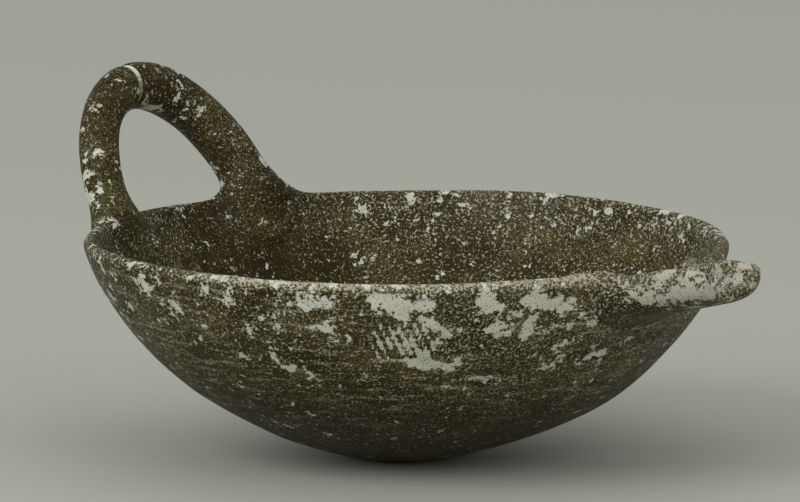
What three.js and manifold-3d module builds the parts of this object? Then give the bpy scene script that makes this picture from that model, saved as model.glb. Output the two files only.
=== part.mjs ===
// A hand-built clay bowl with a high loop handle leaning out from the rim and an open trough spout opposite.
// Millimetres, +Z up. The bowl's axis is the Z axis and its flat resting face lies on Z = 0.
// The spout points along +X and the handle stands on the -X side; "near" is the -Y limb, "far" the +Y limb.
import * as THREE from 'three';
import { mergeVertices } from 'three/addons/utils/BufferGeometryUtils.js';
import Module from 'manifold-3d';

// Bowl wall: one sweeping outer curve from the foot to the lip, and a wall thickness at each end of it
const footRadius = 12.2; // flat patch that the round bottom rests on
const footDrift = 3.3; // how far the foot sits off the axis, towards the handle
const footDriftHeight = 16; // the drift has died out at this height
const floorSlope = 11.5; // degrees, where the outer curve leaves the foot
const floorReach = 80; // how far out the floor's slope is held
const rimRadius = 112.85; // outside of the wall, just under the lip
const crestHeight = 78.3; // highest line of the lip above the resting face
const wallLean = 12; // degrees outward, at the lip
const wallReach = 7.7; // how far down the lip's direction is held
const floorThickness = 7.5;
const lipThickness = 5.5;
const baseSeamHeight = 25; // pinched base below, coiled wall above
const rimSeamHeight = 66; // coiled wall below, rim coil above

// The rim coil isn't level: fingers pressed it down beside the spout, and it stands up on the far side
const rimDip = 3;
const rimDipAzimuth = 20; // degrees from the spout towards the far side
const rimDipWidth = 30; // degrees
const rimSwell = 1.3;
const rimSwellAzimuth = 103;
const rimSwellWidth = 26;

// Loop handle: an arch in a leaning plane, from rim to rim
const archSpan = 73.3; // between the middle lines of the two limbs at the rim
const archRise = 48.2; // along the leaning plane, from rim to middle line of the crown
const archLean = 31.7; // degrees outward from upright
const archFullness = 1.93; // 2 is a true ellipse
const nearLimbThickness = 14;
const farLimbThickness = 17;
const rootDepth = 1; // how far the limbs reach down past the crest that they sit on
const mendAngle = 84; // degrees round the arch from the near root
const mendWidth = 1.9; // break across the crown
const mendSkew = 14; // degrees that the break slants across the limb

// Clay collars worked round the handle's roots
const nearCollarFlare = 1.8;
const nearCollarHeight = 6;
const farCollarFlare = 5.5;
const farCollarHeight = 12;
const collarDrop = 7; // how far the collars reach down the wall
const collarEdge = 0.9; // thickness at the top edge
const collarSide = 1.8; // most that they stand out across the rim
const collarTaper = 0.5; // how much of the limb's section they lose at their foot

// Trough spout: a U-shaped channel set into a notch of the rim
const spoutTip = 150; // distance of the mouth from the bowl's axis
const spoutHalfWidth = 15.7; // outside, over its parallel stretch
const spoutFlare = 11; // extra half width at the root, where the sides curve into the rim
const spoutThickness = 4.6;
const troughFullness = 0.75; // 1 is a plain half ellipse, less is squarer
const spoutLipRise = 3.8; // lips above the crest of the rim, near the mouth
const spoutLipDip = 1.8; // lips below the crest, at the root
const spoutMouthDrop = 8; // underside below the crest, at the mouth
const spoutRootDrop = 18.5; // underside below the crest, at the wall
const spoutEndRound = 4.2; // length over which the lips round down at the mouth
const filletSize = 3.2; // clay worked into the corner under the spout, at the wall
const filletReach = 7; // how far it runs out from the wall
const filletEdge = 0.9; // its thickness at the outer end
const filletTop = 10; // its ends stop this far below the crest

const seatGap = 0.3; // between neighbours that meet on a curved or slanted face

// Facet counts
const turnSegments = 88;
const wallSteps = 6;
const rimSteps = 3;
const lipSteps = 5;
const limbSides = 20;
const limbSteps = 12;
const collarSteps = 8;
const spoutSteps = 12;
const spoutArcSteps = 14;

const DEGREE = Math.PI / 180;
const lipRound = lipThickness / 2;
const clay = { dark: 0x46412a, warm: 0x4e4933, worn: 0x87846f, filler: 0xb4b4a2 };

const wasm = await Module();
wasm.setup();

/** Solid of a closed geometry, for cutting. */
function solidOf(geometry) {
  const bare = geometry.clone();
  bare.deleteAttribute('normal');
  bare.deleteAttribute('uv');
  const merged = mergeVertices(bare, 1e-4);
  return new wasm.Manifold(new wasm.Mesh({
    numProp: 3,
    vertProperties: merged.attributes.position.array,
    triVerts: new Uint32Array(merged.index.array),
  }));
}

/** Geometry of a solid that has been cut. */
function geometryOf(solid) {
  const mesh = solid.getMesh();
  const geometry = new THREE.BufferGeometry();
  geometry.setAttribute('position', new THREE.BufferAttribute(mesh.vertProperties, 3));
  geometry.setIndex(new THREE.BufferAttribute(mesh.triVerts, 1));
  geometry.computeVertexNormals();
  return geometry;
}

/** Closed solid through sections of equally many points; place(point, step) sets a section point in space. */
function loft(sections, place) {
  const count = sections[0].length;
  const positions = sections.flatMap((section, step) => section.flatMap((p) => place(p, step).toArray()));
  const index = [];
  for (let step = 0; step < sections.length - 1; step++) {
    for (let i = 0; i < count; i++) {
      const a = step * count + i;
      const b = step * count + ((i + 1) % count);
      index.push(a, b, b + count, a, b + count, a + count);
    }
  }
  const last = (sections.length - 1) * count;
  for (const [i, j, k] of THREE.ShapeUtils.triangulateShape(sections[0], [])) index.push(k, j, i);
  for (const [i, j, k] of THREE.ShapeUtils.triangulateShape(sections.at(-1), [])) {
    index.push(last + i, last + j, last + k);
  }
  const geometry = new THREE.BufferGeometry();
  geometry.setAttribute('position', new THREE.Float32BufferAttribute(positions, 3));
  geometry.setIndex(index);
  return geometry;
}

function smooth(from, to, value) {
  return THREE.MathUtils.smoothstep(value, from, to);
}

// Bowl profile
const shoulderHeight = crestHeight - lipRound * (1 + Math.sin(wallLean * DEGREE));
const outerCurve = new THREE.CubicBezierCurve(
  new THREE.Vector2(footRadius, 0),
  new THREE.Vector2(
    footRadius + floorReach * Math.cos(floorSlope * DEGREE),
    floorReach * Math.sin(floorSlope * DEGREE),
  ),
  new THREE.Vector2(
    rimRadius - wallReach * Math.sin(wallLean * DEGREE),
    shoulderHeight - wallReach * Math.cos(wallLean * DEGREE),
  ),
  new THREE.Vector2(rimRadius, shoulderHeight),
);

/** Point of the wall at a given depth under its outer curve; t runs from foot to shoulder. */
function wallPoint(t, depth) {
  const tangent = outerCurve.getTangent(t);
  const inward = new THREE.Vector2(-tangent.y, tangent.x);
  return outerCurve.getPoint(t).addScaledVector(inward, depth);
}

const outerSkin = (grow) => (t) => wallPoint(t, -grow);
const innerSkin = (grow) => (t) => wallPoint(t, THREE.MathUtils.lerp(floorThickness, lipThickness, t) + grow);

/** Points of a skin between two heights, spaced evenly in t, with both ends exactly at their heights. */
function skinBetween(skin, low, high, steps) {
  const at = (height) => {
    let [below, above] = [0, 1];
    for (let i = 0; i < 40; i++) {
      const middle = (below + above) / 2;
      if (skin(middle).y < height) below = middle;
      else above = middle;
    }
    return (below + above) / 2;
  };
  const [from, to] = [at(low), at(high)];
  const points = [];
  for (let i = 0; i <= steps; i++) points.push(skin(THREE.MathUtils.lerp(from, to, i / steps)));
  if (low > skin(0).y) points[0].y = low;
  if (high < skin(1).y) points[steps].y = high;
  return points;
}

/** Rounded lip from the outer shoulder over the crest to the inner one. */
function lipArc(grow) {
  const centre = wallPoint(1, lipRound);
  const points = [];
  for (let i = 1; i < lipSteps; i++) {
    const angle = -wallLean * DEGREE + (Math.PI * i) / lipSteps;
    const reach = lipRound + grow;
    points.push(new THREE.Vector2(centre.x + reach * Math.cos(angle), centre.y + reach * Math.sin(angle)));
  }
  return points;
}

/** Turns a closed outline about Z and gives it the hand-made drift of the foot and dip of the rim. */
function turned(outline) {
  const geometry = new THREE.LatheGeometry([...outline, outline[0]], turnSegments);
  geometry.rotateX(Math.PI / 2);
  const position = geometry.attributes.position;
  for (let i = 0; i < position.count; i++) {
    const [x, y, z] = [position.getX(i), position.getY(i), position.getZ(i)];
    const low = Math.max(0, 1 - Math.max(z, 0) / footDriftHeight);
    position.setX(i, x - footDrift * low * low);
    const share = Math.max(0, (z - rimSeamHeight) / (crestHeight - rimSeamHeight));
    position.setZ(i, z + share * rimWave(Math.atan2(y, x)));
  }
  return geometry;
}

/** Height of the rim above its nominal level, round the bowl. */
function rimWave(azimuth) {
  const hump = (centre, width) => Math.exp(-(((azimuth / DEGREE - centre) / width) ** 2));
  return rimSwell * hump(rimSwellAzimuth, rimSwellWidth) - rimDip * hump(rimDipAzimuth, rimDipWidth);
}

/** Outline of the base: down the inside to the axis, then out along the foot and up the outside. */
function baseOutline() {
  const outside = skinBetween(outerSkin(0), 0, baseSeamHeight, wallSteps);
  const inside = skinBetween(innerSkin(0), 0, baseSeamHeight, wallSteps);
  return [
    new THREE.Vector2(0, 0),
    ...outside,
    ...inside.reverse(),
    new THREE.Vector2(0, inside.at(-1).y - 0.3),
  ];
}

function ringOutline(low, high, grow, steps, withLip) {
  const outside = skinBetween(outerSkin(grow), low, high, steps);
  const inside = skinBetween(innerSkin(grow), low, high, steps);
  return [...outside, ...(withLip ? lipArc(grow) : []), ...inside.reverse()];
}

/** Upper wall and rim in one, grown by the seat gap: what the handle and spout are fitted to. */
function seatOnRim() {
  return solidOf(turned(ringOutline(baseSeamHeight, Infinity, seatGap, wallSteps + rimSteps, true)));
}

/** Everything inside the bowl's inner face, up past the rim: the spout stops flush with it. */
function bowlHollow() {
  const inside = skinBetween(innerSkin(0), baseSeamHeight, Infinity, wallSteps + rimSteps);
  const top = crestHeight * 2;
  const outline = [
    new THREE.Vector2(0, baseSeamHeight),
    ...inside,
    new THREE.Vector2(inside.at(-1).x, top),
    new THREE.Vector2(0, top),
  ];
  return solidOf(turned(outline));
}

// Handle arch
const chordX = -Math.sqrt((rimRadius - lipRound) ** 2 - (archSpan / 2) ** 2);
const archUp = new THREE.Vector3(-Math.sin(archLean * DEGREE), 0, Math.cos(archLean * DEGREE));
const archFace = new THREE.Vector3(Math.cos(archLean * DEGREE), 0, Math.sin(archLean * DEGREE));

/** Middle line of the handle in the arch's plane; angles outside 0 to PI run straight down past the rim. */
function archMiddle(angle) {
  const inside = THREE.MathUtils.clamp(angle, 0, Math.PI);
  const power = 2 / archFullness;
  const across = -Math.sign(Math.cos(inside)) * Math.abs(Math.cos(inside)) ** power;
  const up = Math.abs(Math.sin(inside)) ** power - Math.abs(angle - inside);
  return new THREE.Vector2((archSpan / 2) * across, archRise * up);
}

/** Point near the arch: out is measured from the middle line in the arch's plane, face square to the plane. */
function archPoint(angle, out, face, skew = 0) {
  const step = 1e-3;
  const tangent = archMiddle(angle + step).sub(archMiddle(angle - step)).normalize();
  const normal = new THREE.Vector2(-tangent.y, tangent.x);
  const middle = archMiddle(angle).addScaledVector(normal, out).addScaledVector(tangent, skew * out);
  return new THREE.Vector3(chordX, middle.x, crestHeight)
    .addScaledVector(archUp, middle.y)
    .addScaledVector(archFace, face);
}

function limbRadius(angle) {
  return THREE.MathUtils.lerp(nearLimbThickness, farLimbThickness, smooth(0.25, 0.65, angle / Math.PI)) / 2;
}

/** Round section of the handle with a radius in the arch's plane and one square to it. */
function roundSection(radiusOut, radiusFace) {
  const section = [];
  for (let i = 0; i < limbSides; i++) {
    const turn = (2 * Math.PI * i) / limbSides;
    section.push(new THREE.Vector2(radiusOut * Math.cos(turn), radiusFace * Math.sin(turn)));
  }
  return section;
}

/** Stretch of the handle between two angles, grown by a clearance. */
function limb(from, to, steps, grow) {
  const angles = Array.from({ length: steps + 1 }, (_, i) => THREE.MathUtils.lerp(from, to, i / steps));
  const sections = angles.map((angle) => roundSection(limbRadius(angle) + grow, limbRadius(angle) + grow));
  const slant = (angle) => {
    const away = ((angle - mendAngle * DEGREE) * archRise) / (nearLimbThickness / 2);
    return Math.tan(mendSkew * DEGREE) * Math.exp(-away * away);
  };
  return solidOf(loft(sections, (p, step) => archPoint(angles[step], p.x, p.y, slant(angles[step]))));
}

const rootAngle = -rootDepth / archRise;
const mendAt = mendAngle * DEGREE;
const mendHalf = mendWidth / archSpan;
const mendClear = (2 * seatGap) / archSpan;

/** Clay collar round the near or far root: swells over the rim, thins up the limb and down the wall. */
function collar(root, flare, height) {
  const levels = Array.from({ length: collarSteps + 1 }, (_, i) =>
    THREE.MathUtils.lerp(-collarDrop, height, i / collarSteps));
  if (root > 0) levels.reverse();
  const angles = levels.map((level) => (root > 0 ? root - level / archRise : level / archRise));
  const swell = (level) => {
    if (level < 0) return flare * Math.cos((level / collarDrop) * (Math.PI / 2));
    return collarEdge + (flare - collarEdge) * (1 - level / height) ** 2;
  };
  const sections = levels.map((level) => {
    const sunk = Math.max(0, -level / collarDrop);
    const radius = limbRadius(root) * Math.sqrt(1 - collarTaper * sunk * sunk);
    return roundSection(radius + swell(level), radius + Math.min(swell(level), collarSide));
  });
  return solidOf(loft(sections, (p, step) => archPoint(angles[step], p.x, p.y)));
}

// Spout
const spoutRoot = rimRadius - lipThickness;

/** Heights, half width and wall of the trough at a distance x from the bowl's axis; its mouth is rounded. */
function spoutHeights(x) {
  const along = (x - spoutRoot) / (spoutTip - spoutRoot);
  const round = THREE.MathUtils.clamp((x - spoutTip) / spoutEndRound + 1, 0, 1);
  const ease = 1 - Math.sqrt(1 - 0.9 * round * round);
  return {
    lip: crestHeight + THREE.MathUtils.lerp(-spoutLipDip, spoutLipRise, smooth(0.1, 0.75, along))
      - ease * spoutThickness,
    underside: crestHeight - THREE.MathUtils.lerp(spoutRootDrop, spoutMouthDrop, along)
      + (ease * spoutThickness) / 2,
    halfWidth: spoutHalfWidth + spoutFlare * (1 - along) ** 3 - (ease * spoutThickness) / 2,
    wall: spoutThickness * (1 - ease / 2),
  };
}

/** Half-round sweep from one side under the channel to the other, square-shouldered as a thumbed trough is. */
function troughArc(halfWidth, top, bottom) {
  return Array.from({ length: spoutArcSteps + 1 }, (_, i) => {
    const turn = Math.PI + (Math.PI * i) / spoutArcSteps;
    const across = Math.sign(Math.cos(turn)) * Math.abs(Math.cos(turn)) ** troughFullness;
    const down = Math.abs(Math.sin(turn)) ** troughFullness;
    return new THREE.Vector2(halfWidth * across, THREE.MathUtils.lerp(top, bottom, down));
  });
}

/** Section of the trough: round under the channel, with rounded lips. */
function troughSection(x) {
  const { lip, underside, halfWidth, wall } = spoutHeights(x);
  const top = lip - wall / 2;
  const lipCap = (side) => [0.25, 0.5, 0.75].map((share) => new THREE.Vector2(
    side * (halfWidth - (wall / 2) * (1 - Math.cos(Math.PI * share))),
    top + (wall / 2) * Math.sin(Math.PI * share),
  ));
  return [
    ...troughArc(halfWidth, top, underside),
    ...lipCap(1),
    ...troughArc(halfWidth - wall, top, underside + wall).reverse(),
    ...lipCap(-1).reverse(),
  ];
}

/** The trough's outside, filled and carried up past the rim: what is cut out of its neighbours. */
function notchSection(x) {
  const { lip, underside, halfWidth, wall } = spoutHeights(x);
  const arc = troughArc(halfWidth + seatGap, lip - wall / 2, underside - seatGap);
  const above = crestHeight + spoutRootDrop;
  return [...arc, new THREE.Vector2(arc.at(-1).x, above), new THREE.Vector2(arc[0].x, above)];
}

/** The trough's outside thickened towards the wall, for the clay worked into the corner. */
function filletSection(x) {
  const { underside, halfWidth } = spoutHeights(x);
  const top = crestHeight - filletTop;
  const centre = new THREE.Vector2(0, top);
  return troughArc(halfWidth, top, underside).map((p) => {
    const out = THREE.MathUtils.clamp((Math.hypot(x, p.x) - rimRadius) / filletReach, 0, 1);
    const size = filletEdge + (filletSize - filletEdge) * (1 - out) ** 2;
    return p.add(p.clone().sub(centre).setLength(size));
  });
}

/** Loft along the spout, with a section for each distance from the bowl's axis. */
function spoutLoft(sectionAt, from, to) {
  const stations = Array.from({ length: spoutSteps + 1 }, (_, i) => THREE.MathUtils.lerp(from, to, i / spoutSteps));
  const sections = stations.map(sectionAt);
  return solidOf(loft(sections, (p, step) => new THREE.Vector3(stations[step], p.x, p.y)));
}

const materials = {
  dark: new THREE.MeshStandardMaterial({ color: clay.dark, roughness: 0.62, metalness: 0 }),
  warm: new THREE.MeshStandardMaterial({ color: clay.warm, roughness: 0.66, metalness: 0 }),
  worn: new THREE.MeshStandardMaterial({ color: clay.worn, roughness: 0.8, metalness: 0 }),
  filler: new THREE.MeshStandardMaterial({ color: clay.filler, roughness: 0.9, metalness: 0 }),
};
const bowl = new THREE.Group();

function addPiece(name, solid, material) {
  const mesh = new THREE.Mesh(geometryOf(solid), material.clone());
  mesh.name = name;
  bowl.add(mesh);
}

const rimSeat = seatOnRim();
const spoutInner = spoutRoot - 2 * lipThickness;
const notch = spoutLoft(notchSection, spoutInner, spoutTip + seatGap);
const nearLimb = limb(rootAngle, mendAt - mendHalf, limbSteps, 0);
const farLimb = limb(mendAt + mendHalf, Math.PI - rootAngle, limbSteps, 0);
const gapAngle = seatGap / archRise;
const wholeHandle = limb(rootAngle - gapAngle, Math.PI - rootAngle + gapAngle, 2 * limbSteps, seatGap);

addPiece('base_shell', solidOf(turned(baseOutline())), materials.dark);
addPiece(
  'wall_shell',
  solidOf(turned(ringOutline(baseSeamHeight, rimSeamHeight, 0, wallSteps, false))).subtract(notch),
  materials.dark,
);
addPiece(
  'rim_coil',
  solidOf(turned(ringOutline(rimSeamHeight, Infinity, 0, rimSteps, true))).subtract(notch),
  materials.worn,
);
addPiece('spout_trough', spoutLoft(troughSection, spoutInner, spoutTip).subtract(bowlHollow()), materials.worn);
addPiece(
  'spout_fillet',
  spoutLoft(filletSection, rimRadius - lipThickness, rimRadius + filletReach).subtract(notch).subtract(rimSeat),
  materials.dark,
);
addPiece('handle_near_limb', nearLimb.subtract(rimSeat), materials.warm);
addPiece('handle_far_limb', farLimb.subtract(rimSeat), materials.warm);
addPiece(
  'handle_mend_fill',
  limb(mendAt - mendHalf + mendClear, mendAt + mendHalf - mendClear, 1, -seatGap),
  materials.filler,
);
addPiece(
  'near_root_collar',
  collar(0, nearCollarFlare, nearCollarHeight).subtract(wholeHandle).subtract(rimSeat),
  materials.warm,
);
addPiece(
  'far_root_collar',
  collar(Math.PI, farCollarFlare, farCollarHeight).subtract(wholeHandle).subtract(rimSeat),
  materials.warm,
);

export default bowl;
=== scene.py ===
import math

import bpy
import numpy as np
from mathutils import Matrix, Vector


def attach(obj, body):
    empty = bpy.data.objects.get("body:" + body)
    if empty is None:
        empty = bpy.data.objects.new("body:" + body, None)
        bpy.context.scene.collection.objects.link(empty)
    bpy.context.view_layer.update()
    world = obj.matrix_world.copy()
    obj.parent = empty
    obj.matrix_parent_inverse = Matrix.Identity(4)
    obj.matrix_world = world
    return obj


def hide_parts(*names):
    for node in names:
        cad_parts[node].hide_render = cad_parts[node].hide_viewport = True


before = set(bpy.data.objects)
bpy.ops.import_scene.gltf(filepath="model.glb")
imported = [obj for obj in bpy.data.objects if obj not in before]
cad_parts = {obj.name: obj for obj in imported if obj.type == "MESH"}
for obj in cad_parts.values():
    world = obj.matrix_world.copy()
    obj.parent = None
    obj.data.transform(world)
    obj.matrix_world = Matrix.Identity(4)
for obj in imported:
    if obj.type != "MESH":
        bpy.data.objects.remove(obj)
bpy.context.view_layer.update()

# Sizes are in millimetres and angles in degrees. A mesh is scaled to metres when it is made.
# A pair named with LIMITS is where a smooth step starts and where it ends.
MM = 0.001

# Bowl wall: one outer curve from the foot to the shoulder, and a wall thickness at each end
FOOT_RADIUS = 12.2
FOOT_DRIFT = 3.3
FOOT_DRIFT_HEIGHT = 16
FLOOR_SLOPE = 11.5
FLOOR_REACH = 80
RIM_RADIUS = 112.85
CREST = 78.3
WALL_LEAN = 12
WALL_REACH = 7.7
FLOOR_THICKNESS = 7.5
LIP_THICKNESS = 5.5
BASE_SEAM = 25
RIM_SEAM = 66
LIP_ROUND = LIP_THICKNESS / 2

# The rim isn't level: height, azimuth and width of its dip and of its swell
RIM_DIP = (-3, 20, 30)
RIM_SWELL = (1.3, 103, 26)

# Unevenness of hand-built clay: height, size and seed of slow swells, finger-wide dents and a level drag
HAND_SWELL = (0.9, 46, 3)
HAND_DENT = (0.42, 15, 11)
HAND_DRAG = (0.16, 6, 23)
DRAG_STRETCH = np.array([0.3, 0.3, 1.6])
FOOT_CALM_LIMITS = (1, 12)  # heights over which it fades in, so that the foot stays flat
LIMB_HAND = 0.8
SPOUT_HAND = 0.7
BELLY = (1.5, 38, 26, 24, 11)  # height, azimuth and its width, level and its width of one low bulge

# Loop handle
ARCH_SPAN = 73.3
ARCH_RISE = 48.2
ARCH_LEAN = 31.7
ARCH_FULLNESS = 1.93
NEAR_THICKNESS = 14
FAR_THICKNESS = 17
THICKENING_LIMITS = (0.25, 0.65)  # shares of the arch's half turn
MEND_ANGLE = 84
MEND_WIDTH = 1.9
MEND_SKEW = 14
BREAK_ROUND = 0.9
BREAK_SHRINK = 0.06
BREAK_CALM = 3  # the unevenness fades in over this many edge roundings from the break
FILL_SUNK = 0.075
FILL_HOLLOW = 0.03

# Handle roots: the limbs run on down the wall and close inside it
ROOT_SINK = 16
ROOT_CLOSE = 0.98  # at 1 the end would be a point
NEAR_FLARE = (0.6, 6)  # how far the root spreads, and how far up it reaches
FAR_FLARE = (2.6, 13)
ROOT_SIDE = 1.8  # most that it spreads square to the arch's plane

# Trough spout
SPOUT_TIP = 150
SPOUT_HALF_WIDTH = 15.7
SPOUT_FLARE = 11
FLARE_POWER = 3
SPOUT_THICKNESS = 4.6
TROUGH_FULLNESS = 0.75
LIP_RISE = 3.8
LIP_DIP = 0.5
LIP_RISE_LIMITS = (0.1, 0.75)  # shares of the spout's length
MOUTH_DROP = 8
ROOT_DROP = 18.5
END_ROUND = 4.2
END_EASE = 0.9
MOUTH_BULGE = SPOUT_THICKNESS / 3
MOUTH_CLOSE = 0.985  # at 1 the mouth's wall would end in an edge
SPOUT_ROOT = RIM_RADIUS - LIP_THICKNESS
NOTCH_START = 40
SPOUT_SIDE = 45  # the notch lies within this azimuth

# Clay smoothed into the corners: the reach of each fillet, and how far out its neighbours are looked for
HANDLE_BLEND = 12
SPOUT_BLEND = 9
MELT_PASSES = 6
HANDLE_NEAR_WALL = (26, 48)  # distance from the roots' chord, lowest height
SPOUT_NEAR_WALL = (88, 40)  # least x, lowest height
WALL_NEAR_HANDLE = 22  # height above the crest
WALL_NEAR_SPOUT = 9  # distance inside the rim's radius
TROUGH_IN = 14  # the trough counts from this far inside its root
TROUGH_SKIN_IN = 4  # and its skin from this far inside
LOWEST_WALL = 30  # the wall counts from this height

# Mesh steps
WALL_STEPS = 600
PAST_STEPS = 20
PAST_SHOULDER = (0.1, 5)  # stretch of the straight run past the shoulder
TURNS = 640
FOOT_ROWS = 8
BASE_ROWS = 66
BASE_CROWDING = 1.25
WALL_ROWS = 58
RIM_ROWS = 14
LIP_ROWS = 18
LIMB_RINGS = 150
LIMB_SIDES = 96
FILL_RINGS = 9
HANDLE_BALL_STEPS = 160
SPOUT_STATIONS = 64
SPOUT_ARC = 60
SPOUT_CAP = 8
MOUTH_ROWS = 7
SPOUT_SKIN_STEPS = (44, 70)
ANGLE_STEP = 1e-3
CHUNK = 600
SHARP_ANGLE = 50

# Photograph's view: turned and raised this far, with this width of the subject across the frame
VIEW_AZIMUTH = 41.44
VIEW_ELEVATION = 8.5
FRAME_WIDTH = 279.04
VIEW_DISTANCE = 7000
SENSOR = 36
RIM_CENTRE_PIXEL = (407, 236.6)
FRAME_CENTRE_PIXEL = (400, 251)
PIXEL = FRAME_WIDTH / (2 * FRAME_CENTRE_PIXEL[0])


def smooth(low, high, value):
    """Smooth step: 0 below low, 1 above high, 3q^2 - 2q^3 between."""
    q = np.clip((value - low) / (high - low), 0, 1)
    return q * q * (3 - 2 * q)


def mix(a, b, share):
    """Value that lies a share of the way from a to b."""
    return a + (b - a) * share


def unit(vectors):
    """Vectors over their own lengths."""
    return vectors / np.maximum(np.linalg.norm(vectors, axis=-1, keepdims=True), 1e-9)


# Noise worked out on the points: the hash's odd multipliers, and octaves whose weights add up to 1
LATTICE_SHIFT = 1000  # keeps the lattice's numbers above 0
CORNER_HASH = (73856093, 19349663, 83492791)
SEED_HASH = 2654435761
STIR_HASH = 1274126177
OCTAVES = (0.57, 0.29, 0.14)


def lattice(points, size, seed):
    """Value noise from 0 to 1: hashed numbers at the corners of a cubic lattice, blended by 3f^2 - 2f^3."""
    q = points / size + LATTICE_SHIFT
    corner = np.floor(q).astype(np.int64)
    f = q - corner
    f = f * f * (3 - 2 * f)
    total = np.zeros(points.shape[:-1])
    for steps in np.ndindex(2, 2, 2):
        hashed, weight = seed * SEED_HASH, 1
        for axis, step in enumerate(steps):
            hashed = hashed ^ ((corner[..., axis] + step) * CORNER_HASH[axis])
            weight = weight * (f[..., axis] if step else 1 - f[..., axis])
        hashed = (hashed ^ (hashed >> 13)) * STIR_HASH & 0x7FFFFFFF
        hashed = (hashed ^ (hashed >> 16)) & 0xFFFF
        total += weight * hashed / 0xFFFF
    return total


def rough(points, size, seed):
    """Octaves of lattice noise, from 0 to 1, each half the size of the one before."""
    return sum(part * lattice(points, size / 2**step, seed + step) for step, part in enumerate(OCTAVES))


def hand(points):
    """Unevenness of hand-built clay in millimetres: slow swells, finger-wide dents and a level drag."""
    total = 0
    for (height, size, seed), stretch in ((HAND_SWELL, 1), (HAND_DENT, 1), (HAND_DRAG, DRAG_STRETCH)):
        total = total + height * (lattice(points * stretch, size, seed) - 0.5)
    return total


# Bowl profile
def wall_table():
    """Outer curve of the wall from the foot up: a cubic Bezier, then straight on along the wall's lean.

    The Bezier leaves the foot along the floor's slope and reaches the shoulder along the wall's lean, and
    the thickness changes evenly with its parameter. Returns columns of r, z, the inward normal's r and z
    and the thickness, and the height of the shoulder.
    """
    lean, slope = math.radians(WALL_LEAN), math.radians(FLOOR_SLOPE)
    shoulder = CREST - LIP_ROUND * (1 + math.sin(lean))
    along = np.array([math.sin(lean), math.cos(lean)])
    p0 = np.array([FOOT_RADIUS, 0.0])
    p1 = p0 + FLOOR_REACH * np.array([math.cos(slope), math.sin(slope)])
    p3 = np.array([RIM_RADIUS, shoulder])
    p2 = p3 - WALL_REACH * along
    t = np.linspace(0, 1, WALL_STEPS)[:, None]
    curve = (1 - t) ** 3 * p0 + 3 * (1 - t) ** 2 * t * p1 + 3 * (1 - t) * t * t * p2 + t**3 * p3
    past = p3 + np.linspace(*PAST_SHOULDER, PAST_STEPS)[:, None] * along
    up_to_shoulder = mix(FLOOR_THICKNESS, LIP_THICKNESS, t[:, 0])
    thickness = np.append(up_to_shoulder, np.full(PAST_STEPS, LIP_THICKNESS))
    line = np.vstack([curve, past])
    tangent = unit(np.gradient(line, axis=0))
    return line[:, 0], line[:, 1], -tangent[:, 1], tangent[:, 0], thickness, shoulder


WALL_R, WALL_Z, WALL_NR, WALL_NZ, WALL_THICK, SHOULDER = wall_table()


def at_height(column, height):
    """A column of the wall's table, read off evenly between its rows where the wall has this height."""
    return np.interp(height, WALL_Z, column)


def hump(azimuth, shape):
    """Bell over the azimuth: height * exp(-q^2), with q the angle from its middle in widths."""
    height, centre, width = shape
    return height * np.exp(-(((np.degrees(azimuth) - centre) / width) ** 2))


def rim_wave(azimuth):
    """Height of the rim above its level: a swell beside the far limb and a dip beside the spout."""
    return hump(azimuth, RIM_SWELL) + hump(azimuth, RIM_DIP)


# Spout form
def trough_arc(count):
    """Trough's section from lip to lip, half a superellipse: cos^n across and sin^n down, n its fullness."""
    turn = math.pi + math.pi * np.linspace(0, 1, count)
    across = np.sign(np.cos(turn)) * np.abs(np.cos(turn)) ** TROUGH_FULLNESS
    down = np.abs(np.sin(turn)) ** TROUGH_FULLNESS
    return across, down


def spout_heights(x):
    """Lip, underside, half width and wall of the trough at x.

    With s the share of its length, the lip rises by a smooth step of s, the underside by s, and the half
    width spreads at the root by flare * (1 - s)^power. The mouth draws them in by 1 - sqrt(1 - ease q^2),
    with q the share of the rounding's length.
    """
    along = (x - SPOUT_ROOT) / (SPOUT_TIP - SPOUT_ROOT)
    turn = np.clip((x - SPOUT_TIP) / END_ROUND + 1, 0, 1)
    ease = 1 - np.sqrt(1 - END_EASE * turn * turn)
    rise = mix(-LIP_DIP, LIP_RISE, smooth(*LIP_RISE_LIMITS, along))
    lip = CREST + rise - ease * SPOUT_THICKNESS
    underside = CREST - mix(ROOT_DROP, MOUTH_DROP, along) + ease * SPOUT_THICKNESS / 2
    half = SPOUT_HALF_WIDTH + SPOUT_FLARE * (1 - along) ** FLARE_POWER - ease * SPOUT_THICKNESS / 2
    return lip, underside, half, SPOUT_THICKNESS * (1 - ease / 2)


def trough_low(x, y, sink):
    """Height of the trough's arc over y, infinite beside it: sink 0 for its outside, 1 for its channel.

    At a share q of the half width it is (1 - q^(2/n))^(n/2) of the way down from lip to underside.
    """
    lip, underside, half, wall = spout_heights(x)
    half = half - sink * wall
    across = np.clip(np.abs(y) / half, 0, 1)
    down = (1 - across ** (2 / TROUGH_FULLNESS)) ** (TROUGH_FULLNESS / 2)
    return np.where(np.abs(y) < half, mix(lip - wall / 2, underside + sink * wall, down), np.inf)


def inside_trough(points):
    """True inside the trough's outer face, or above it between the lips."""
    x, y, z = points[..., 0], points[..., 1], points[..., 2]
    return (x > SPOUT_ROOT - TROUGH_IN) & (x < SPOUT_TIP) & (z > trough_low(x, y, 0))


# Bowl body
def body_rows():
    """Level heights of the rows up the wall, crowded at the foot, and angles of the rows over the lip."""
    base = BASE_SEAM * np.linspace(0, 1, BASE_ROWS) ** BASE_CROWDING
    wall = np.linspace(BASE_SEAM, RIM_SEAM, WALL_ROWS)[1:]
    rim = np.linspace(RIM_SEAM, SHOULDER, RIM_ROWS)[1:]
    lip = np.linspace(0, math.pi, LIP_ROWS + 2)[1:-1]
    return np.concatenate([base, wall, rim]), lip


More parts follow.
